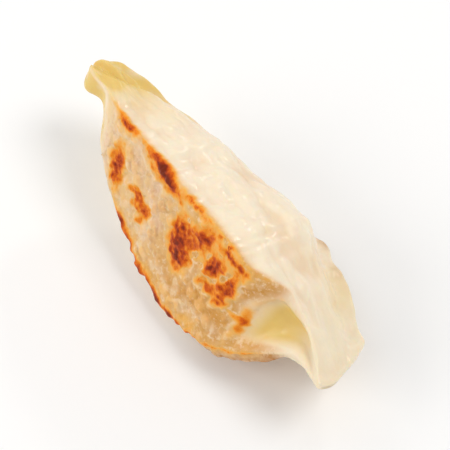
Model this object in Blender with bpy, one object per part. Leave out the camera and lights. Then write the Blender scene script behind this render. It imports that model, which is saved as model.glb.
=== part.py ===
"""One pan-fried gyoza lying on its pleated side.

The dumpling is one body.  It is drawn standing on its browned foot, the way it sat in the
pan, as a row of cross-sections along its length, like the stations of a boat.  The whole
body is then rolled over until the pleats and the seam rest on the table.

Standing frame of a section: "across" runs from the pleated side to the smooth side, "up"
runs from the foot to the sealed seam.  Final frame: +X towards the flat flap of the seam,
+Y from the foot to the seam, +Z up, origin on the table under the middle of the body.
"""

import math

import bmesh
import bpy
from mathutils import Vector

MM = 0.001

# Driving sizes, in millimetres and degrees.
KNOB_TIP = -44.0
FLAP_TIP = 44.0
ROLL = 25.0
SETTLE = 1.2

# Fin: the pressed seam, thicker where it ends in the knob.
FIN_THICKNESS = 2.4
FIN_DEPTH = 5.0
FIN_SHARE = 0.4
KNOB_THICKNESS = 4.8
KNOB_FROM = -30.0
KNOB_TO = -41.0
KNOB_ROUND = 3.2

# Edges of the foot: crisp where it was fried, soft towards both tips.
FOOT_CORNER = 0.9
SOFT_CORNER = 2.6
CORNER_SHARE = 0.2
NECK_FROM = -29.0
NECK_TO = -37.0

# Flap: its end slants back towards the seam, with rounded corners.
FLAP_ROUND = 1.3
FLAP_EDGE = 0.9
FLAP_CORNER = 2.4
FLAP_SLANT = 7.6
FLAP_SLANT_FROM = 4.0
FLAP_BULGE = 0.5
FLAP_BULGE_FROM = 30.0
FLAP_FOOT = 1.6
FLAP_FOOT_RISE = 0.34
FLAP_FOOT_FROM = 34.0
FLAP_LOW = 4.5
FLAP_HIGH = 22.0

# Stations, in millimetres.  Each gives where the ridge (foot meets smooth side), the heel
# (foot meets pleated side) and the seam's rim run, as (across, up), and how far the smooth
# and the pleated side belly out beyond a straight line.
STATIONS = (
    # along   ridge          heel            seam           smooth  pleated
    (-44.0, (11.4, 2.8), (6.8, 3.0), (9.2, 9.4), 1.2, 1.0),
    (-40.5, (11.8, 2.2), (6.4, 2.2), (9.0, 11.4), 1.6, 1.4),
    (-36.0, (12.2, 1.6), (6.8, 3.2), (8.2, 15.2), 1.8, 1.2),
    (-29.5, (12.9, 0.3), (1.6, 0.5), (6.4, 20.0), 3.4, 2.6),
    (-16.0, (13.3, 0.0), (-6.6, 0.0), (2.4, 27.2), 7.0, 4.2),
    (0.0, (13.8, 0.0), (-11.6, 0.0), (0.8, 32.2), 8.4, 5.2),
    (10.0, (14.6, 0.0), (-11.2, 0.0), (3.0, 32.8), 8.2, 4.7),
    (18.0, (14.0, 1.0), (-8.2, 0.2), (4.3, 29.6), 6.4, 3.8),
    (25.0, (13.2, 6.2), (-3.2, 1.6), (5.0, 28.6), 3.2, 2.6),
    (33.0, (10.0, 7.2), (3.8, 4.6), (4.4, 27.0), 0.8, 1.2),
    (44.0, (5.8, 4.5), (4.6, 4.5), (4.8, 21.5), 0.2, 0.2),
)

# Where a side's control points stand between foot and fin, how much its swell leans up,
# and how high the swell sits on the smooth and on the pleated side.
SIDE_STEPS = (0.06, 0.3, 0.56, 0.8)
SWELL_LIFT = 0.3
SMOOTH_FULLNESS = 1.4
PLEATED_FULLNESS = 0.8

# Hollow where the foot lifts off the pan beside the flap.
HOLLOW_DEPTH = 2.4
HOLLOW_FROM = 17.0
HOLLOW_TO = 42.0
HOLLOW_FADE = 9.0
HOLLOW_STEPS = (0.25, 0.5, 0.75)

# Pleats: folds of the pleated side, gathered into the seam.
PLEATS = 6
PLEATS_FROM = -27.0
PLEATS_TO = 25.0
PLEAT_RISE = 1.7
PLEAT_FAN = 0.22
PLEAT_CREST = 0.72
PLEAT_FALL = 0.86
PLEAT_FADE = (0.1, 0.75)

# Mesh: rings along the length, spokes round each ring, and how much closer together the
# rings stand near the two tips.
RINGS = 88
SPOKES = 54
TIP_CROWDING = 0.45


def mix(a, b, t):
    return a + (b - a) * t


def smooth_step(low, high, value):
    t = min(max((value - low) / (high - low), 0.0), 1.0)
    return t * t * (3.0 - 2.0 * t)


def rounded(distance, radius):
    """Height of a quarter circle at a distance in from its edge, from 0 to 1."""
    t = min(max(distance / radius, 0.0), 1.0)
    return math.sqrt(1 - (1 - t) ** 2)


def flat_row(station):
    along, ridge, heel, seam, smooth, pleated = station
    return (along, *ridge, *heel, *seam, smooth, pleated)


ROWS = [flat_row(station) for station in STATIONS]


def through(values, spans, t):
    """A smooth curve from values[1] to values[2]; spans are the gaps between the four."""
    slopes = [(values[k + 1] - values[k]) / spans[k] for k in range(3)]
    leave = (slopes[0] + slopes[1]) / 2 * spans[1]
    arrive = (slopes[1] + slopes[2]) / 2 * spans[1]
    ends = mix(values[1], values[2], t * t * (3 - 2 * t))
    return ends + leave * t * (1 - t) ** 2 - arrive * t * t * (1 - t)


def station_at(along):
    """The section's ridge, heel and seam points and its two bellies at a place along."""
    last = len(ROWS) - 2
    i = max(k for k in range(last + 1) if k == 0 or ROWS[k][0] <= along)
    rows = [ROWS[max(i - 1, 0)], ROWS[i], ROWS[i + 1], ROWS[min(i + 2, last + 1)]]
    spans = [max(rows[k + 1][0] - rows[k][0], 1.0) for k in range(3)]
    t = (along - rows[1][0]) / spans[1]
    sizes = [through([row[k] for row in rows], spans, t) for k in range(1, 9)]
    ridge, heel, seam = (Vector(sizes[k:k + 2]) for k in (0, 2, 4))
    return ridge, heel, seam, sizes[6], sizes[7]


def foot_points(along, ridge, heel):
    """The foot from heel to ridge: flat in the pan, hollow beside the flap."""
    starts = smooth_step(HOLLOW_FROM, HOLLOW_FROM + HOLLOW_FADE, along)
    ends = smooth_step(HOLLOW_TO, HOLLOW_TO - HOLLOW_FADE, along)
    soft = max(smooth_step(NECK_FROM, NECK_TO, along), starts)
    crisp = mix(FOOT_CORNER, SOFT_CORNER, soft) / (ridge - heel).length
    crisp = min(crisp, CORNER_SHARE)
    lift = Vector((0.0, HOLLOW_DEPTH * starts * ends))
    points = [heel, heel.lerp(ridge, crisp)]
    points += [heel.lerp(ridge, t) + lift for t in HOLLOW_STEPS]
    return points + [heel.lerp(ridge, 1 - crisp), ridge]


def side_points(low, root, belly, fullness):
    """A bellied side from the foot up to the root of the fin."""
    out = Vector((belly, SWELL_LIFT * abs(belly)))
    return [low.lerp(root, t) + out * math.sin(math.pi * t ** fullness) for t in SIDE_STEPS]


def fin_thickness(along):
    return mix(FIN_THICKNESS, KNOB_THICKNESS, smooth_step(KNOB_FROM, KNOB_TO, along))


def section_cage(along):
    """Control points round a section: foot, smooth side, fin, pleated side."""
    ridge, heel, seam, smooth, pleated = station_at(along)
    half = Vector((fin_thickness(along) / 2, 0.0))
    depth = min(FIN_DEPTH, FIN_SHARE * (seam - ridge.lerp(heel, 0.5)).length)
    root = seam - Vector((0.0, depth))
    cage = foot_points(along, ridge, heel)
    cage += side_points(ridge, root + half, smooth, SMOOTH_FULLNESS)
    cage += [root + half, root.lerp(seam, 0.5) + half, seam + half]
    cage += [seam - half, root.lerp(seam, 0.5) - half, root - half]
    cage += side_points(heel, root - half, -pleated, PLEATED_FULLNESS)[::-1]
    return cage


def round_curve(cage, turn):
    """Point of a closed cubic B-spline, turn from 0 to 1 once round."""
    place = (turn % 1.0) * len(cage)
    i = int(place)
    t = place - i
    weights = ((1 - t) ** 3, 3 * t ** 3 - 6 * t ** 2 + 4, 1 + 3 * t + 3 * t ** 2 - 3 * t ** 3, t ** 3)
    return sum((cage[(i + k - 1) % len(cage)] * w for k, w in enumerate(weights)), Vector((0, 0))) / 6


def pleat(along, point, seam, heel):
    """How far a fold stands out: a slow rise and a quick fall, fading towards the foot."""
    height = min(max((point.y - heel.y) / (seam.y - heel.y), 0.0), 1.0)
    middle = (PLEATS_FROM + PLEATS_TO) / 2
    fanned = middle + (along - middle) / (1 + PLEAT_FAN * (1 - height))
    place = (fanned - PLEATS_FROM) / (PLEATS_TO - PLEATS_FROM) * PLEATS
    if not 0 < place < PLEATS:
        return 0.0
    fold = place % 1.0
    profile = smooth_step(0.0, PLEAT_CREST, fold) * smooth_step(1.0, PLEAT_FALL, fold)
    return PLEAT_RISE * profile * smooth_step(*PLEAT_FADE, height)


def body_point(along, turn):
    """A point of the standing body, in millimetres."""
    cage = section_cage(along)
    point = round_curve(cage, turn)
    heel, seam = station_at(along)[1:3]
    if turn > 0.5:
        side = smooth_step(0.0, FIN_THICKNESS / 2, seam.x - point.x)
        point.x -= pleat(along, point, seam, heel) * side
    centre = sum(cage, Vector((0, 0))) / len(cage)
    point = centre.lerp(point, rounded(along - KNOB_TIP, KNOB_ROUND))
    edge = rounded(FLAP_TIP - along, FLAP_ROUND)
    point.x = mix(centre.x, point.x, edge)
    point.y = mix(centre.y, point.y, mix(FLAP_EDGE, 1.0, edge) if edge > 0 else 0.0)
    rise = max(point.y - FLAP_LOW, 0.0) / (FLAP_HIGH - FLAP_LOW)
    point.y -= FLAP_CORNER * rise * (1 - rounded(FLAP_TIP - along, FLAP_CORNER))
    slant = FLAP_SLANT * rise * smooth_step(FLAP_SLANT_FROM, FLAP_TIP, along)
    bulge = FLAP_BULGE * math.sin(math.pi * min(rise, 1.0)) * smooth_step(FLAP_BULGE_FROM, FLAP_TIP, along)
    low = max(1 - rise / FLAP_FOOT_RISE, 0.0) ** 2
    tuck = FLAP_FOOT * low * smooth_step(FLAP_FOOT_FROM, FLAP_TIP, along)
    return Vector((along - slant + bulge - tuck, point.x, point.y))


def roll_over(point):
    """Standing frame to lying frame."""
    lean = math.radians(ROLL)
    along, across, up = point
    y = across * math.sin(lean) + up * math.cos(lean)
    z = across * math.cos(lean) - up * math.sin(lean)
    return Vector((along, y, z))


def settle(verts):
    """Press the underside flat on the table and centre the body over the origin."""
    table = min(v.co.z for v in verts) + SETTLE
    for vert in verts:
        vert.co.z = max(vert.co.z - table, 0.0)
    low = Vector([min(v.co[k] for v in verts) for k in range(3)])
    high = Vector([max(v.co[k] for v in verts) for k in range(3)])
    shift = (low + high) / 2
    shift.z = 0.0
    for vert in verts:
        vert.co = (vert.co - shift) * MM


def make_gyoza():
    bm = bmesh.new()
    bmesh.ops.create_uvsphere(bm, u_segments=SPOKES, v_segments=RINGS, radius=1.0)
    middle = (KNOB_TIP + FLAP_TIP) / 2
    half = (FLAP_TIP - KNOB_TIP) / 2
    for vert in bm.verts:
        height = min(max(vert.co.z, -1.0), 1.0)
        even = 2 * math.asin(height) / math.pi
        along = middle + half * mix(even, height, TIP_CROWDING)
        turn = math.atan2(vert.co.y, vert.co.x) / math.tau % 1.0
        vert.co = roll_over(body_point(along, turn))
    settle(bm.verts)
    bmesh.ops.recalc_face_normals(bm, faces=bm.faces)
    mesh = bpy.data.meshes.new("gyoza")
    bm.to_mesh(mesh)
    bm.free()
    mesh.shade_smooth()
    return bpy.data.objects.new("gyoza", mesh)


def dough_material():
    material = bpy.data.materials.new("fried dough")
    material.use_nodes = True
    shader = material.node_tree.nodes["Principled BSDF"]
    shader.inputs["Base Color"].default_value = (0.86, 0.70, 0.48, 1.0)
    shader.inputs["Roughness"].default_value = 0.42
    shader.inputs["Metallic"].default_value = 0.0
    return material


def main():
    for obj in list(bpy.data.objects):
        bpy.data.objects.remove(obj)
    collection = bpy.data.collections.new("gyoza")
    bpy.context.scene.collection.children.link(collection)
    gyoza = make_gyoza()
    gyoza.data.materials.append(dough_material())
    collection.objects.link(gyoza)


main()
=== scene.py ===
import math

import bmesh
import bpy
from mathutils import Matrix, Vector, noise


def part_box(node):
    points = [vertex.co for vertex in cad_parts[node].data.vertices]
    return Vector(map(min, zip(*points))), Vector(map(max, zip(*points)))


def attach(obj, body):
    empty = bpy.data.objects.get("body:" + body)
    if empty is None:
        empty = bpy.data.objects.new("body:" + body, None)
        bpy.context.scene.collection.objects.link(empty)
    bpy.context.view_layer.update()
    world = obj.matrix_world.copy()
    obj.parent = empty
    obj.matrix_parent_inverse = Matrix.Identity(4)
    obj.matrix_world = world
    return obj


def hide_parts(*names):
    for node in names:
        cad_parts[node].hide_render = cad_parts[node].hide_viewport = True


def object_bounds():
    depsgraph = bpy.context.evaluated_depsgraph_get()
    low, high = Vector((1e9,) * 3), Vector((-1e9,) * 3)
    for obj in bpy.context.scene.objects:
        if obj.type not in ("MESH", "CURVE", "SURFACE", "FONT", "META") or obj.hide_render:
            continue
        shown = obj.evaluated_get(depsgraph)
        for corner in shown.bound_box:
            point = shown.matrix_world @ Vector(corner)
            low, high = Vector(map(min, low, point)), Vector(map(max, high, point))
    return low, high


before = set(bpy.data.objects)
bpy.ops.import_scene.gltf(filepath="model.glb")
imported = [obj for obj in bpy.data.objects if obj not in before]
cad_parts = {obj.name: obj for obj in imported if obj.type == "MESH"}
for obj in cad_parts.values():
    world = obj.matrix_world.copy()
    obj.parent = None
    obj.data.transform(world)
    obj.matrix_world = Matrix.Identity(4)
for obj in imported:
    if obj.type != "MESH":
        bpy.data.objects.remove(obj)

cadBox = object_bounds()
mm = 0.001
print("frame loaded, box in mm:", [round((b - a) / mm, 1) for a, b in zip(*cadBox)])

# The dumpling is drawn standing on its fried foot, section by section, then rolled over
# onto its pleats as it lies on the table. Lengths are millimetres, angles degrees.
body = {
    "knobTip": -44.0,
    "flapTip": 44.0,
    "roll": 25.0,
    "finThickness": 2.0,
    "knobThickness": 4.8,
    "finDepth": 5.0,
    "footCorner": 0.9,
    "softCorner": 2.6,
    "knobRound": 3.2,
    "flapRound": 1.2,
    "flapCorner": 2.4,
    "flapSlant": 7.6,
    "flapFoot": 1.6,
    "flapBulge": 0.5,
    "flapLow": 4.5,
    "flapHigh": 22.0,
    "hollowDepth": 2.4,
    "hollowFrom": 17.0,
    "hollowTo": 42.0,
    "rings": 300,
    "spokes": 314,
    "typicalSection": 4.0,
    "leastSpan": 1.0,
    "tipCrowding": 0.3,
    "tipGap": 0.6,
    # along, ridge, heel, seam (each across, up), then how far the two sides belly out
    "stations": (
        (-44.0, (11.4, 2.8), (6.8, 3.0), (9.2, 9.4), 1.2, 1.0),
        (-40.5, (11.8, 2.2), (6.4, 2.2), (9.0, 11.4), 1.6, 1.4),
        (-36.0, (12.2, 1.6), (6.8, 3.2), (8.2, 15.2), 1.8, 1.2),
        (-29.5, (12.9, 0.3), (1.6, 0.5), (6.4, 20.0), 3.4, 2.6),
        (-16.0, (13.3, 0.0), (-6.6, 0.0), (2.4, 27.2), 7.0, 4.2),
        (0.0, (13.8, 0.0), (-11.6, 0.0), (0.8, 32.2), 8.4, 5.2),
        (10.0, (14.6, 0.0), (-11.2, 0.0), (3.0, 32.8), 8.2, 4.7),
        (18.0, (14.0, 1.0), (-8.2, 0.2), (4.3, 29.6), 6.4, 3.8),
        (25.0, (13.2, 6.2), (-3.2, 1.6), (5.0, 28.6), 3.2, 2.6),
        (33.0, (10.0, 7.2), (3.8, 4.6), (4.4, 27.0), 0.8, 1.2),
        (44.0, (5.8, 4.5), (4.6, 4.5), (4.8, 21.5), 0.2, 0.2),
    ),
}

# Folds gathered into the seam on the side that lies on the table.
pleats = {
    "count": 6,
    "first": -27.0,
    "last": 25.0,
    "rise": 1.7,
    "fan": 0.22,
    "overhang": 0.9,
}

# Unevenness of the dough, as heights and widths in millimetres.
relief = {
    "lumps": (0.65, 8.0),
    "dimples": (0.20, 2.8),
    "longCreases": (0.80, 10.0, 4.2),
    "seamCreases": (0.42, 3.1),
    "footLumps": (0.42, 5.0),
    "blisters": (0.50, 3.3),
    "pits": (0.14, 1.3),
    "footGrain": (0.07, 0.8),
    "heelScallops": (0.9, 2.8),
    "heelLip": (0.9, 1.9),
    "ridgeNicks": (0.30, 2.2),
    "finWave": (0.5, 5.2),
    "rimWave": (0.35, 4.4),
    "rimGroove": 0.28,
    "rimScallop": 0.35,
    "flapRipple": (0.5, 6.0),
    "knobGroove": 0.8,
    "lip": (0.40, 1.0),
    "bulge": 1.5,
}

# Toasted marks on the foot: along, across, half length, half width, turn, depth of brown.
# A mark of negative depth clears the brown round it, which leaves a cream fleck.
toast = {
    "marks": (
        (-25.4, 12.4, 4.0, 1.6, -6, 0.26), (-24.3, 12.2, 1.8, 0.65, 9, 0.80),
        (-22.3, 12.4, 1.0, 0.8, 0, 0.24), (-22.5, 3.2, 6.0, 2.9, -74, 0.26),
        (-22.4, 2.6, 4.6, 1.8, -74, 0.48), (-22.8, -0.4, 0.9, 0.6, 49, 0.45),
        (-23.6, 2.2, 0.8, 0.5, 49, 0.40), (-22.8, 4.8, 1.4, 0.7, -70, 0.34),
        (-15.0, 11.4, 2.8, 1.8, 0, 0.16), (-10.8, 11.6, 7.0, 2.2, -6, 0.34),
        (-10.0, 12.3, 5.4, 1.0, -8, 0.82), (-13.0, 1.2, 4.6, 2.6, -30, 0.22),
        (-13.9, 2.2, 2.0, 1.0, -26, 0.50), (-11.2, 0.9, 2.1, 1.3, 30, 0.60),
        (-16.4, 2.4, 1.0, 0.7, 49, 0.44), (-14.6, 0.2, 1.2, 0.7, 49, 0.30),
        (-11.3, -2.0, 1.5, 0.8, 49, 0.30), (-1.4, 13.1, 2.8, 0.6, 3, 0.48),
        (2.2, 13.4, 2.4, 0.6, 3, 0.26), (8.4, 13.7, 0.9, 0.5, 20, 0.60),
        (0.4, 3.4, 6.4, 4.0, -70, 0.36), (0.0, 3.0, 5.4, 2.6, -74, 0.74),
        (3.4, 1.6, 1.9, 1.3, 49, 0.46), (5.2, 8.6, 5.4, 3.6, 20, 0.40),
        (5.8, 10.4, 2.4, 1.5, 49, 0.56), (4.0, 6.2, 2.0, 1.2, 49, 0.34),
        (10.8, 7.2, 3.6, 2.2, 49, 0.30), (10.8, 7.2, 2.8, 1.7, 49, 0.66),
        (13.8, 11.8, 4.8, 1.5, -4, 0.28), (14.6, 12.1, 3.6, 0.7, -3, 0.58),
        (11.6, 13.9, 0.9, 0.5, 20, 0.92), (13.4, 4.2, 4.6, 2.8, 20, 0.16),
        (9.4, 2.4, 2.2, 1.2, 49, 0.40), (12.0, 2.3, 2.1, 1.1, 30, 0.56),
        (15.1, 2.1, 2.2, 1.4, 49, 0.52), (15.5, 5.6, 2.7, 1.6, 49, 0.72),
        (15.9, 9.0, 2.4, 1.4, 49, 0.42), (20.0, 1.9, 2.3, 0.8, -2, 0.34),
        (20.9, 2.6, 2.3, 0.8, -74, 0.20), (21.1, 0.0, 1.7, 0.7, -67, 0.24),
        (4.8, 5.2, 1.0, 0.4, 30, -0.9), (8.3, 7.8, 0.9, 0.4, 75, -0.9),
        (9.9, 3.8, 0.9, 0.4, 20, -0.9), (12.0, 4.6, 1.2, 0.5, 49, -1.0),
        (13.4, 7.2, 1.3, 0.6, 10, -1.1), (14.5, 8.8, 0.7, 0.4, 60, -0.9),
        (-0.2, 9.3, 0.8, 0.5, 49, -0.6), (7.9, 4.8, 0.9, 0.5, 30, -0.9),
    ),
    "wander": (0.55, 1.6),
    "mottle": (0.55, 1.15),
    "ridgeGlow": 0.20,
    "heelCrust": 0.46,
    "heelSkirt": 0.18,
    "lipGlow": 0.17,
}


def mix(a, b, t):
    return a + (b - a) * t


def smoothStep(low, high, value):
    t = min(max((value - low) / (high - low), 0.0), 1.0)
    return t * t * (3.0 - 2.0 * t)


def rounded(distance, radius):
    t = min(max(distance / radius, 0.0), 1.0)
    return math.sqrt(1 - (1 - t) ** 2)


def wave(seed, *place):
    return noise.noise(Vector((*place, 0.0, 0.0)[:3]) + Vector((seed * 7.31, seed * 3.17, seed * 5.77)))


# sections of the standing dumpling

def through(values, spans, t):
    slopes = [(values[k + 1] - values[k]) / spans[k] for k in range(3)]
    leave = (slopes[0] + slopes[1]) / 2 * spans[1]
    arrive = (slopes[1] + slopes[2]) / 2 * spans[1]
    ends = mix(values[1], values[2], t * t * (3 - 2 * t))
    return ends + leave * t * (1 - t) ** 2 - arrive * t * t * (1 - t)


rows = [(s[0], *s[1], *s[2], *s[3], s[4], s[5]) for s in body["stations"]]


def stationAt(along):
    last = len(rows) - 2
    i = max(k for k in range(last + 1) if k == 0 or rows[k][0] <= along)
    near = [rows[max(i - 1, 0)], rows[i], rows[i + 1], rows[min(i + 2, last + 1)]]
    spans = [max(near[k + 1][0] - near[k][0], 1.0) for k in range(3)]
    t = (along - near[1][0]) / spans[1]
    sizes = [through([row[k] for row in near], spans, t) for k in range(1, 9)]
    ridge, heel, seam = (Vector(sizes[k:k + 2]) for k in (0, 2, 4))
    return ridge, heel, seam, sizes[6], sizes[7]


def unevenStation(along):
    # the same station with a wandering rim, ridge and heel
    ridge, heel, seam, smooth, pleated = stationAt(along)
    inner = smoothStep(body["knobTip"], -32.0, along) * smoothStep(body["flapTip"], 38.0, along)
    high, wide = relief["finWave"]
    seam.x += high * wave(1, along / wide) * mix(0.4, 1.0, inner)
    high, wide = relief["rimWave"]
    nearFlap = smoothStep(4.0, 12.0, along) * smoothStep(34.0, 28.0, along)
    seam.y += high * wave(2, along / wide) * mix(0.5, 1.0, inner) * mix(1.0, 0.3, nearFlap)
    panel = smoothStep(-34.0, -26.0, along) * smoothStep(24.0, 17.0, along)
    high, wide = relief["ridgeNicks"]
    ridge.x += high * (wave(3, along / wide) + 0.4 * wave(4, along * 2.3 / wide)) * panel
    crusted = smoothStep(-24.0, -12.0, along) * smoothStep(30.0, 22.0, along)
    high, wide = relief["heelScallops"]
    heel.x -= high * (abs(wave(5, along / wide)) + 0.5 * wave(6, along * 2.1 / wide)) * crusted
    return ridge, heel, seam, smooth, pleated


def footPoints(along, ridge, heel):
    ends = smoothStep(body["hollowFrom"] - 3, body["hollowFrom"] + 6, along) + smoothStep(-29.0, -37.0, along)
    corner = mix(body["footCorner"], body["softCorner"], ends)
    crisp = min(corner / max((ridge - heel).length, 0.1), 0.2)
    depth = smoothStep(body["hollowFrom"], body["hollowFrom"] + 9, along)
    depth *= smoothStep(body["hollowTo"], body["hollowTo"] - 9, along)
    lift = Vector((0.0, body["hollowDepth"] * depth))
    points = [heel, heel.lerp(ridge, crisp)]
    points += [heel.lerp(ridge, t) + lift for t in (0.25, 0.5, 0.75)]
    return points + [heel.lerp(ridge, 1 - crisp), ridge]


def sidePoints(low, root, belly, steps, fullness):
    out = Vector((belly, 0.3 * abs(belly)))
    return [low.lerp(root, t) + out * math.sin(math.pi * t ** fullness) for t in steps]


def sectionCage(along):
    ridge, heel, seam, smooth, pleated = unevenStation(along)
    thick = mix(body["finThickness"], body["knobThickness"], smoothStep(-30.0, -41.0, along))
    half = Vector((thick / 2, 0.0))
    depth = min(body["finDepth"], 0.4 * (seam - ridge.lerp(heel, 0.5)).length)
    root = seam - Vector((0.0, depth))
    steps = (0.06, 0.3, 0.56, 0.8)
    cage = footPoints(along, ridge, heel)
    cage += sidePoints(ridge, root + half, smooth, steps, 1.4)
    cage += [root + half, root.lerp(seam, 0.5) + half, seam + half]
    cage += [seam - half, root.lerp(seam, 0.5) - half, root - half]
    cage += sidePoints(heel, root - half, -pleated, steps, 0.8)[::-1]
    return cage


# where the cage's points stand: heel, ridge and rim, with the fin's roots at 11 and 16
heelPlace, ridgePlace, rimPlace, cageSize = 0.0, 6.0, 13.5, 21


def evenPlaces():
    # cage places spread evenly round a typical section, so that the mesh is even too
    cage = sectionCage(body["typicalSection"])
    steps = [(cage[(i + 1) % cageSize] - cage[i]).length for i in range(cageSize)]
    spans = [max(step, body["leastSpan"]) for step in steps]
    total = sum(spans)
    places = []
    for spoke in range(body["spokes"]):
        left = total * spoke / body["spokes"]
        i = 0
        while left > spans[i]:
            left -= spans[i]
            i += 1
        places.append(i + left / spans[i])
    return places


def roundCurve(cage, place):
    i = int(place)
    t = place - i
    weights = ((1 - t) ** 3, 3 * t ** 3 - 6 * t ** 2 + 4, 1 + 3 * t + 3 * t ** 2 - 3 * t ** 3, t ** 3)
    return sum((cage[(i + k - 1) % cageSize] * w for k, w in enumerate(weights)), Vector((0, 0))) / 6


def bodyPoint(along, place, cage, centre):
    point = roundCurve(cage, place)
    point = centre.lerp(point, rounded(along - body["knobTip"], body["knobRound"]))
    edge = rounded(body["flapTip"] - along, body["flapRound"])
    point.x = mix(centre.x, point.x, edge)
    point.y = mix(centre.y, point.y, mix(0.9, 1.0, edge) if edge > 0 else 0.0)
    rise = max(point.y - body["flapLow"], 0.0) / (body["flapHigh"] - body["flapLow"])
    point.y -= body["flapCorner"] * rise * (1 - rounded(body["flapTip"] - along, body["flapCorner"]))
    slant = body["flapSlant"] * rise * smoothStep(4.0, body["flapTip"], along)
    bulge = body["flapBulge"] * math.sin(math.pi * min(rise, 1.0)) * smoothStep(30.0, body["flapTip"], along)
    tuck = body["flapFoot"] * max(1 - rise / 0.34, 0.0) ** 2 * smoothStep(34.0, body["flapTip"], along)
    return Vector((along - slant + bulge - tuck, point.x, point.y))


def rollOver(point):
    lean = math.radians(body["roll"])
    along, across, up = point
    y = across * math.sin(lean) + up * math.cos(lean)
    z = across * math.cos(lean) - up * math.sin(lean)
    return Vector((along, y, z))


# relief of the dough, as a height along the surface's normal

def pleatProfile(along, height):
    middle = (pleats["first"] + pleats["last"]) / 2
    fanned = middle + (along - middle) / (1 + pleats["fan"] * (1 - height))
    fanned += 0.8 * wave(11, along / 9, height * 2)
    place = (fanned - pleats["first"]) / (pleats["last"] - pleats["first"]) * pleats["count"]
    if not 0 < place < pleats["count"]:
        return 0.0, 0.0
    fold = place % 1.0
    strength = 1 + 0.5 * wave(12, int(place) * 3.7)
    crest = smoothStep(0.0, 0.72, fold) * smoothStep(1.0, 0.88, fold)
    fade = smoothStep(0.08, 0.75, height) * strength
    return crest * fade, smoothStep(0.45, 0.88, fold) * smoothStep(1.0, 0.9, fold) * fade


def calmAt(along, place):
    # pleats die out where the side swells past the rim beside the flap
    nearFlap = smoothStep(0.0, 9.0, along) * smoothStep(32.0, 26.0, along)
    return 1 - 0.85 * nearFlap * smoothStep(20.0, 18.4, place)


def cellRise(place, seed, share, radius):
    # round domes standing apart from each other
    spot = place + Vector((seed * 9.7, seed * 4.3, seed * 6.1))
    centre = noise.voronoi(spot)[1][0]
    if wave(seed + 40, centre.x * 5.3, centre.z * 5.3) > share - 0.5:
        return 0.0
    return max(1 - ((spot.x - centre.x) ** 2 + (spot.z - centre.z) ** 2) / radius ** 2, 0.0)


def footRelief(along, place, point):
    edge = smoothStep(heelPlace, 1.0, place) * smoothStep(ridgePlace, 5.2, place)
    fried = smoothStep(-34.0, -26.0, along) * smoothStep(23.0, 18.0, along)
    high, wide = relief["footLumps"]
    rise = high * noise.noise(point / wide) * edge
    high, wide = relief["blisters"]
    rise += high * cellRise(point / wide, 1, 0.50, 0.50) * edge * fried
    rise += 0.5 * high * cellRise(point / wide * 1.9, 2, 0.45, 0.45) * edge * fried
    high, wide = relief["pits"]
    rise -= high * cellRise(point / wide, 3, 0.55, 0.5) * mix(0.3, 1.0, edge) * fried
    high, wide = relief["lip"]
    across = point.x
    lip = math.exp(-(lipDistance(along, across) / wide) ** 2)
    rise += high * lip * smoothStep(0.7, 1.6, place) * smoothStep(5.6, 4.6, place)
    high, wide = relief["footGrain"]
    return rise + high * noise.noise(point / wide) * fried


def lipDistance(along, across):
    # how far beyond the arched lip, where the fried panel gives way to the hollow
    arch = 20.2 + 0.10 * max(across, 0.0) + 3.6 * smoothStep(5.0, 12.0, across) ** 2
    return along - arch


def grooveAt(along):
    # the furrow that runs from the knob's tip into the root of the fin
    return mix(7.6, 11.0, smoothStep(-43.5, -27.0, along))


def sideRelief(along, place, height, point):
    high, wide = relief["lumps"]
    rise = high * noise.noise(point / wide + Vector((5, 9, 2))) * smoothStep(ridgePlace, 8.0, place)
    high, wide = relief["dimples"]
    rise += high * noise.noise(point / wide)
    calm = mix(1.0, 0.25, smoothStep(24.0, 34.0, along))
    high, length, wide = relief["longCreases"]
    crease = abs(wave(9, along / length, height * 26 / wide))
    crease += 0.5 * abs(wave(10, along / length * 2, height * 50 / wide))
    belly = smoothStep(6.3, 7.6, place) * smoothStep(11.6, 10.4, place)
    rise += high * (crease - 0.3) * belly * calm
    high, wide = relief["seamCreases"]
    toSeam = smoothStep(8.6, 10.6, place) * smoothStep(12.6, 11.4, place)
    rise -= high * abs(wave(8, along / wide + 0.12 * place, place * 0.25)) * toSeam * calm
    rise -= relief["rimGroove"] * smoothStep(0.5, 0.1, abs(place - rimPlace))
    groove = smoothStep(1.0, 0.2, abs(place - grooveAt(along)))
    rise -= relief["knobGroove"] * groove * smoothStep(-25.0, -35.0, along)
    swell = smoothStep(12.0, 20.0, along) * smoothStep(33.0, 27.0, along)
    rise += relief["bulge"] * swell * smoothStep(18.0, 19.4, place) * smoothStep(20.9, 20.2, place)
    if place > rimPlace - 1:
        crest = pleatProfile(along, height)[0]
        rise += pleats["rise"] * crest * smoothStep(rimPlace, rimPlace + 1.2, place) * calmAt(along, place)
        scallop = relief["rimScallop"] * (crest - 0.4) * smoothStep(1.0, 0.2, abs(place - rimPlace))
        rise += scallop * calmAt(along, place)
    return rise


def reliefAt(along, place, height, point):
    if place <= ridgePlace:
        rise = footRelief(along, place, Vector((point.y, point.z, point.x)))
    else:
        rise = sideRelief(along, place, height, point)
    high, wide = relief["heelLip"]
    crusted = smoothStep(-24.0, -12.0, along) * smoothStep(28.0, 21.0, along)
    fromHeel = min(place, cageSize - place)
    crusted *= mix(1.0, 0.5, smoothStep(-3.0, 5.0, along))
    rise += high * max(0.35 + wave(15, along / wide), 0.0) * smoothStep(0.55, 0.0, fromHeel) * crusted
    high, wide = relief["flapRipple"]
    facing = 1 if place < rimPlace else -1
    ripple = high * wave(16, along / wide, height * 3) * smoothStep(26.0, 36.0, along)
    return rise + ripple * facing


# browning and thinness, painted on the same coordinates

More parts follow.
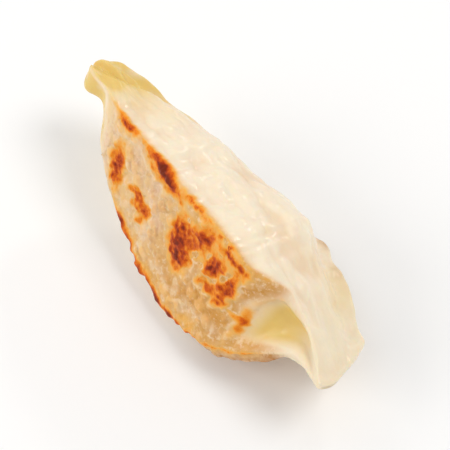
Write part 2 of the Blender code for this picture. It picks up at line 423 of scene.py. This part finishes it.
def markAt(along, across, mark):
    midAlong, midAcross, halfLength, halfWidth, turn, depth = mark
    turn = math.radians(turn)
    x, y = along - midAlong, across - midAcross
    u = (x * math.cos(turn) + y * math.sin(turn)) / halfLength
    v = (y * math.cos(turn) - x * math.sin(turn)) / halfWidth
    return depth * smoothStep(1.6, 0.2, math.hypot(u, v))


def footShare(place):
    # 1 on the fried foot, fading just round its edges
    turned = place if place < 10 else place - cageSize
    return smoothStep(-0.9, 0.1, turned) * smoothStep(7.0, 6.1, turned)


def toastAt(along, place, across, ridge, heel):
    high, wide = toast["wander"]
    x = along + high * wave(21, along / wide, across / wide)
    y = across + high * wave(22, along / wide, across / wide)
    clear = 1.0
    for mark in toast["marks"]:
        clear = min(clear * (1 - markAt(x, y, mark)), 1.0)
    high, wide = toast["mottle"]
    mottle = wave(23, along / wide, across / wide) + 0.6 * wave(24, along * 2.2 / wide, across * 2.2 / wide)
    brown = (1 - clear) * (1 + high * mottle) * footShare(place)
    inner = smoothStep(-36.0, -28.0, along) * smoothStep(24.0, 18.0, along)
    if place <= ridgePlace:
        fromRidge = ridge.x - across
        fromHeel = across - heel.x
        glow = toast["ridgeGlow"] * (smoothStep(1.4, 0.2, fromRidge) + 0.35 * smoothStep(6.0, 1.0, fromRidge))
        broad = mix(2.2, 0.8, smoothStep(-5.0, 5.0, along))
        edge = smoothStep(broad, 0.1, fromHeel) + 0.4 * smoothStep(broad / 2, 0.1, fromHeel)
        crust = toast["heelCrust"] * edge
        crust += toast["heelSkirt"] * smoothStep(9.0, 0.6, fromHeel)
    else:
        glow = toast["ridgeGlow"] * smoothStep(1.5, 0.0, place - ridgePlace) * 0.9
        crust = toast["heelCrust"] * 1.4 * smoothStep(20.3, 20.9, place)
        crust *= mix(1.0, 0.5, smoothStep(-3.0, 5.0, along))
    crusted = smoothStep(-22.0, -15.0, along) * mix(1.0, 0.55, smoothStep(10.0, 18.0, along))
    crusted *= smoothStep(32.0, 24.0, along)
    glow *= inner * (0.75 + 0.9 * wave(25, along / 2.4, across / 3))
    crust *= crusted * (0.75 + 0.9 * wave(26, along / 1.9, across / 3))
    if place <= ridgePlace:
        lip = math.exp(-((lipDistance(along, across) - 0.1) / 1.1) ** 2)
        lip *= smoothStep(0.6, 1.4, place)
        lip *= smoothStep(5.6, 4.8, place)
        glow = max(glow, toast["lipGlow"] * lip * (0.9 + wave(29, across / 2.2, along / 3)))
    tint = max(glow, crust, 0.0)
    return min(max(brown + tint * (1 - brown), 0.0), 1.0)


def goldAt(along, place, across, heel):
    # the fried foot is more golden towards the flap and along its heel
    deep = smoothStep(-11.0, 4.0, along) * (1.0 + 0.8 * wave(33, along / 4.5, across / 4.0))
    deep += 0.45 * smoothStep(5.0, 1.0, across - heel.x) * smoothStep(-26.0, -16.0, along)
    return min(max(deep, 0.0), 1.0) * footShare(place)


def rimShadeAndBrowningAt(along, place):
    # painted shade with a brownish reflected tint, and some light browning, on the rim beside the belly;
    # duller real browning of the bulge under the heel
    # painted shade: the rim strip beside the belly is darkened to brown as if it lay in shade
    rim = smoothStep(11.6, 12.8, place) * smoothStep(14.8, 13.8, place)
    rim *= smoothStep(2.0, 12.0, along) * smoothStep(34.0, 24.0, along)
    low = smoothStep(17.0, 18.6, place) * smoothStep(8.0, 18.0, along) * smoothStep(34.0, 28.0, along)
    rim *= 0.45 + 0.6 * wave(28, along / 5, place / 3)
    low *= 1.3 + 0.5 * wave(30, along / 3, place)
    return min(max(rim, low), 1.0)


def yellowAt(along, place, point):
    # thin damp dough at the pinched tips and in the hollow beside the flap
    knob = 0.95 * smoothStep(-26.0, -38.0, along) + 0.30 * smoothStep(-39.0, -43.0, along)
    knob *= (0.80 + 1.5 * wave(31, along / 4, place / 2)) * mix(1.0, 0.7, smoothStep(14.0, 16.0, place))
    hollow = smoothStep(-0.5, 4.4, lipDistance(along, point.x)) * smoothStep(38.0, 29.0, along)
    hollow *= smoothStep(0.9, 2.4, place) * smoothStep(5.9, 4.4, place)
    groove = smoothStep(1.5, 0.2, abs(place - grooveAt(along))) * smoothStep(-18.0, -33.0, along)
    neck = 0.30 * smoothStep(4.5, 2.0, place) * smoothStep(-27.0, -33.0, along)
    root = 0.40 * smoothStep(ridgePlace, 9.0, place) * smoothStep(-16.0, -32.0, along)
    rim = 0.30 * smoothStep(8.0, 10.5, place) * smoothStep(15.0, 13.5, place)
    rim *= smoothStep(16.0, 26.0, along) * smoothStep(38.0, 30.0, along)
    return min(max(knob + neck + hollow + groove * 0.75 + root + rim, 0.0), 1.0)


def thinAt(along, place):
    flap = smoothStep(24.0, 36.0, along)
    fin = smoothStep(10.8, 12.2, place) * smoothStep(16.6, 15.4, place)
    return max(flap, 0.8 * fin)


def makeGyoza():
    bm = bmesh.new()
    bmesh.ops.create_uvsphere(bm, u_segments=body["spokes"], v_segments=body["rings"], radius=1.0)
    painted = ("toast", "yellow", "thin", "foot", "tan", "gold", "rise")
    layers = {name: bm.verts.layers.float.new(name) for name in painted}
    middle = (body["knobTip"] + body["flapTip"]) / 2
    half = (body["flapTip"] - body["knobTip"]) / 2
    places = evenPlaces()
    cages = {}
    facts = []
    for vert in bm.verts:
        height = min(max(vert.co.z, -1.0), 1.0)
        reach = half * mix(2 * math.asin(height) / math.pi, height, body["tipCrowding"])
        fromTip = half - abs(reach)
        fromTip = fromTip ** 2 / (fromTip + body["tipGap"]) * (half + body["tipGap"]) / half
        along = middle + math.copysign(half - fromTip, reach)
        spoke = round(math.atan2(vert.co.y, vert.co.x) / math.tau * body["spokes"]) % body["spokes"]
        place = places[spoke]
        key = round(along, 4)
        if key not in cages:
            cage = sectionCage(along)
            cages[key] = (cage, sum(cage, Vector((0, 0))) / cageSize, stationAt(along)[:3])
        cage, centre, (ridge, heel, seam) = cages[key]
        point = bodyPoint(along, place, cage, centre)
        height = min(max((point.z - heel.y) / max(seam.y - heel.y, 1.0), 0.0), 1.0)
        facts.append((along, place, height, point))
        flatPoint = Vector((point.y, point.z))
        vert[layers["toast"]] = toastAt(along, place, point.y, ridge, heel)
        vert[layers["yellow"]] = yellowAt(along, place, flatPoint)
        vert[layers["thin"]] = thinAt(along, place)
        vert[layers["tan"]] = rimShadeAndBrowningAt(along, place)
        vert[layers["gold"]] = goldAt(along, place, point.y, heel)
        reach = mix(30.0, 21.0, smoothStep(0.6, 2.2, min(place, cageSize - place)))
        reach += 3.5 * smoothStep(3.6, 4.8, place) * smoothStep(7.0, 6.0, place)
        start = mix(-26.0, -33.0, min(place, ridgePlace) / ridgePlace)
        fried = footShare(place) * smoothStep(start - 4, start + 4, along)
        vert[layers["foot"]] = fried * smoothStep(reach + 3, reach - 3, along)
        vert.co = rollOver(point)
    bmesh.ops.recalc_face_normals(bm, faces=bm.faces)
    bm.normal_update()
    for vert, (along, place, height, point) in zip(bm.verts, facts):
        tips = rounded(along - body["knobTip"], 4.0) * rounded(body["flapTip"] - along, 2.0)
        rise = reliefAt(along, place, height, point) * tips
        vert[layers["rise"]] = rise
        vert.co += vert.normal * rise
        if place > rimPlace:
            lean = pleatProfile(along, height)[1]
            push = pleats["overhang"] * lean * calmAt(along, place)
            vert.co.x += push * smoothStep(rimPlace, rimPlace + 1.5, place)
    layOnTable(bm)
    mesh = bpy.data.meshes.new("gyozaSkin")
    bm.to_mesh(mesh)
    bm.free()
    mesh.shade_smooth()
    gyoza = bpy.data.objects.new("gyozaSkin", mesh)
    bpy.context.scene.collection.objects.link(gyoza)
    return gyoza


def layOnTable(bm):
    low, high = (Vector(corner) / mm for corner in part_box("gyoza"))
    lows = Vector([min(v.co[k] for v in bm.verts) for k in range(3)])
    highs = Vector([max(v.co[k] for v in bm.verts) for k in range(3)])
    shift = (low + high) / 2 - (lows + highs) / 2
    shift.z = high.z - highs.z
    for vert in bm.verts:
        vert.co += shift
        vert.co.z = max(vert.co.z, 0.0)
        vert.co *= mm


# shader maths

class Socket:
    def __init__(self, tree, out):
        self.tree = tree
        self.out = out

    def math(self, operation, first, second=0.0):
        return self.tree.add("ShaderNodeMath", {"operation": operation}, {0: first, 1: second})

    def __add__(self, other):
        return self.math("ADD", self, other)

    def __sub__(self, other):
        return self.math("SUBTRACT", self, other)

    def __rsub__(self, other):
        return self.math("SUBTRACT", other, self)

    def __mul__(self, other):
        return self.math("MULTIPLY", self, other)

    __radd__ = __add__
    __rmul__ = __mul__


class Tree:
    def __init__(self, owner):
        owner.use_nodes = True
        self.nodes = owner.node_tree.nodes
        self.links = owner.node_tree.links
        self.nodes.clear()

    def add(self, kind, settings=None, inputs=None, output=0):
        node = self.nodes.new(kind)
        for name, value in (settings or {}).items():
            if name == "stops":
                self.setStops(node.color_ramp, value)
            else:
                setattr(node, name, value)
        for name, value in (inputs or {}).items():
            if isinstance(value, Socket):
                self.links.new(value.out, node.inputs[name])
            else:
                node.inputs[name].default_value = value
        return Socket(self, node.outputs[output]) if len(node.outputs) else node

    def setStops(self, ramp, stops):
        while len(ramp.elements) < len(stops):
            ramp.elements.new(1.0)
        for element, (position, color) in zip(ramp.elements, stops):
            element.position = position
            element.color = (*color, 1.0)

    def attribute(self, name):
        return self.add("ShaderNodeAttribute", {"attribute_name": name}, output=2)

    def noise(self, vector, scale, detail=3.0, roughness=0.55):
        inputs = {"Vector": vector, "Scale": scale, "Detail": detail, "Roughness": roughness}
        return self.add("ShaderNodeTexNoise", {}, inputs)

    def span(self, value, low, high, toLow=0.0, toHigh=1.0):
        inputs = {"Value": value, "From Min": low, "From Max": high, "To Min": toLow, "To Max": toHigh}
        return self.add("ShaderNodeMapRange", {"interpolation_type": "SMOOTHSTEP"}, inputs)

    def blend(self, factor, first, second, kind="MIX"):
        settings = {"data_type": "RGBA", "blend_type": kind}
        return self.add("ShaderNodeMix", settings, {0: factor, 6: first, 7: second}, output=2)


dough = {
    "smooth": (0.93, 0.80, 0.61, 1),
    "smoothShade": (0.92, 0.76, 0.57, 1),
    "foot": (0.83, 0.55, 0.26, 1),
    "footShade": (0.66, 0.38, 0.17, 1),
    "footPale": (0.95, 0.76, 0.52, 1),
    "footGold": (0.66, 0.31, 0.05, 1),
    # painted shade: colour laid into the dips of the smooth side's relief, darker where the dough sinks
    "crease": (0.84, 0.62, 0.40, 1),
    "blister": (0.88, 0.50, 0.17, 1),
    "yellow": (0.80, 0.55, 0.13, 1),
    # brownish painted shade for the rim strip beside the belly; it also colours the real browning of the
    # bulge under the heel
    "tan": (0.50, 0.20, 0.02, 1),
    "footRose": (0.84, 0.59, 0.39, 1),
    "thin": (0.87, 0.75, 0.54, 1),
    "browning": (
        (0.00, (0.90, 0.62, 0.28)), (0.20, (0.90, 0.49, 0.11)), (0.40, (0.88, 0.29, 0.014)),
        (0.60, (0.69, 0.125, 0.003)), (0.82, (0.42, 0.044, 0.002)), (1.00, (0.20, 0.020, 0.003)),
    ),
    "browningDepth": 1.08,
    "roughness": 0.42,
    "subsurface": 0.38,
    "subsurfaceRadius": (1.0, 0.60, 0.32),
    "subsurfaceScale": 0.0011,
    "coatRoughness": 0.22,
    "ior": 1.40,
    "specular": 0.22,
    "bump": 0.55,
    "bumpHeight": 0.00014,
}


def doughMaterial():
    material = bpy.data.materials.new("fried dough")
    tree = Tree(material)
    place = tree.add("ShaderNodeTexCoord", output=3)
    place = tree.add("ShaderNodeVectorMath", {"operation": "SCALE"}, {0: place, "Scale": 1 / mm})
    brown = tree.attribute("toast")
    yellow = tree.attribute("yellow")
    thin = tree.attribute("thin")
    foot = tree.attribute("foot")

    broad = tree.noise(place, 0.16, 4)
    patchy = tree.noise(place, 0.42, 4, 0.6)
    fine = tree.noise(place, 1.1, 4, 0.5)
    rise = tree.attribute("rise")
    grain = tree.noise(place, 3.4, 3, 0.6)

    smooth = tree.blend(tree.span(broad, 0.35, 0.7), dough["smooth"], dough["smoothShade"])
    footColor = tree.blend(tree.span(patchy, 0.44, 0.64), dough["foot"], dough["footShade"])
    footColor = tree.blend(tree.span(broad, 0.46, 0.62) * 0.7, footColor, dough["footRose"])
    gold = tree.attribute("gold") * tree.span(patchy, 0.30, 0.56, 0.6, 1.0)
    footColor = tree.blend(gold, footColor, dough["footGold"])
    footColor = tree.blend(tree.span(fine, 0.54, 0.68) * 0.4, footColor, dough["footPale"])
    # painted shade in the creases: the smooth side darkens towards the crease colour where the relief dips
    # below its surface
    smooth = tree.blend(tree.span(rise, 0.05, -0.45) * 0.55, smooth, dough["crease"])
    footColor = tree.blend(tree.span(rise, 0.10, 0.50) * 0.5, footColor, dough["blister"])
    color = tree.blend(foot, smooth, footColor)
    color = tree.blend(thin * 0.75, color, dough["thin"])
    color = tree.blend(yellow * 0.9, color, dough["yellow"])
    # painted shade on the rim strip beside the belly, and real browning on the bulge under the heel, both
    # from the one brown colour
    tan = tree.attribute("tan")
    uneven = tree.span(patchy, 0.36, 0.58) * 0.3 + tree.span(fine, 0.42, 0.60) * 0.2 + 0.5
    color = tree.blend(tan * uneven, color, dough["tan"])

    bubbles = tree.add("ShaderNodeTexVoronoi", {}, {"Vector": place, "Scale": 0.85, "Randomness": 1.0})
    bubble = tree.span(bubbles + (fine - 0.5) * 0.5, 0.30, 0.08) * foot * tree.span(patchy, 0.50, 0.60)
    color = tree.blend(bubble * 0.4, color, dough["footPale"])
    halo = tree.span(brown, 0.01, 0.06) * tree.span(brown, 0.15, 0.08) * foot
    color = tree.blend(halo * tree.span(patchy, 0.44, 0.56) * 0.5, color, dough["footPale"])

    browned = brown * dough["browningDepth"] + (fine - 0.5) * 0.50 * tree.span(brown, 0.08, 0.5)
    browned = browned + (grain - 0.5) * 0.26 * tree.span(brown, 0.10, 0.5) + rise * brown * 0.35
    browning = tree.add("ShaderNodeValToRGB", {"stops": dough["browning"]}, {0: browned})
    color = tree.blend(tree.span(browned, 0.02, 0.30), color, browning)

    roughness = dough["roughness"] + (fine - 0.5) * 0.3
    coat = (tree.span(patchy, 0.42, 0.6) * 0.35 + 0.15) * tree.span(browned, 0.35, 0.1)
    bumpHeight = grain * 0.35 + fine * 0.65 + bubble * 0.9
    bumpInputs = {"Strength": dough["bump"], "Distance": dough["bumpHeight"], "Height": bumpHeight}
    bump = tree.add("ShaderNodeBump", {}, bumpInputs)
    shader = tree.add("ShaderNodeBsdfPrincipled", {}, {
        "Base Color": color, "Roughness": roughness, "Normal": bump, "Coat Weight": coat,
        "Coat Roughness": dough["coatRoughness"],
        "IOR": dough["ior"], "Specular IOR Level": dough["specular"],
        "Subsurface Weight": dough["subsurface"],
        "Subsurface Radius": dough["subsurfaceRadius"], "Subsurface Scale": dough["subsurfaceScale"],
    })
    tree.add("ShaderNodeOutputMaterial", {}, {"Surface": shader})
    return material


gyoza = makeGyoza()
gyoza.data.materials.append(doughMaterial())
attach(gyoza, "root")
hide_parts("gyoza")
print("dumpling made:", len(gyoza.data.polygons), "faces")


# floor, light and camera

studio = {
    "floorSize": 4.0,
    "floorColor": (0.95, 0.95, 0.95, 1),
    "worldStrength": 0.54,
    "azimuth": 57.0,
    "elevation": 57.0,
    "lens": 200.0,
    "distance": 0.50,
    # name, place, size, power, color
    "lights": (
        ("key", (0.46, 0.52, 1.15), 0.6, 5.7, (1.0, 0.985, 0.96)),
        ("fill", (-0.35, -0.85, 0.60), 0.6, 3.6, (1.0, 0.98, 0.95)),
        ("side", (-0.8, -0.1, 0.5), 0.7, 1.2, (0.97, 0.98, 1.0)),
        ("glint", (-0.50, 0.85, 0.55), 0.12, 1.1, (1.0, 0.99, 0.97)),
    ),
}


def makeFloor():
    bm = bmesh.new()
    bmesh.ops.create_grid(bm, x_segments=1, y_segments=1, size=studio["floorSize"] / 2)
    mesh = bpy.data.meshes.new("floor")
    bm.to_mesh(mesh)
    bm.free()
    floor = bpy.data.objects.new("floor", mesh)
    bpy.context.scene.collection.objects.link(floor)
    material = bpy.data.materials.new("pale floor")
    tree = Tree(material)
    shader = tree.add("ShaderNodeBsdfPrincipled", {}, {"Base Color": studio["floorColor"], "Roughness": 0.9})
    tree.add("ShaderNodeOutputMaterial", {}, {"Surface": shader})
    mesh.materials.append(material)


def aim(obj, target):
    way = target - obj.location
    obj.rotation_euler = way.to_track_quat("-Z", "Y").to_euler()


def addLight(name, place, size, power, color):
    light = bpy.data.lights.new(name, "AREA")
    light.shape = "DISK"
    light.size = size
    light.energy = power
    light.color = color
    lamp = bpy.data.objects.new(name, light)
    bpy.context.scene.collection.objects.link(lamp)
    lamp.location = place
    aim(lamp, Vector((0, 0, 0.01)))


def addCamera():
    low, high = (Vector(corner) for corner in cadBox)
    middle = (low + high) / 2
    turn, rise = math.radians(studio["azimuth"]), math.radians(studio["elevation"])
    back = Vector((math.sin(turn) * math.cos(rise), -math.cos(turn) * math.cos(rise), math.sin(rise)))
    camera = bpy.data.objects.new("camera", bpy.data.cameras.new("camera"))
    camera.data.lens = studio["lens"]
    camera.data.clip_start = 0.01
    camera.location = middle + back * studio["distance"]
    bpy.context.scene.collection.objects.link(camera)
    aim(camera, middle)
    bpy.context.scene.camera = camera


makeFloor()
for name, place, size, power, color in studio["lights"]:
    addLight(name, Vector(place), size, power, color)
world = bpy.data.worlds.new("studio")
bpy.context.scene.world = world
sky = Tree(world)
seen = sky.add("ShaderNodeLightPath")
strength = sky.span(seen, 0.0, 1.0, studio["worldStrength"], 1.0)
background = sky.add("ShaderNodeBackground", {}, {"Color": (1, 1, 1, 1), "Strength": strength})
sky.add("ShaderNodeOutputWorld", {}, {"Surface": background})
bpy.context.scene.view_settings.view_transform = "Standard"
addCamera()
print("studio ready")
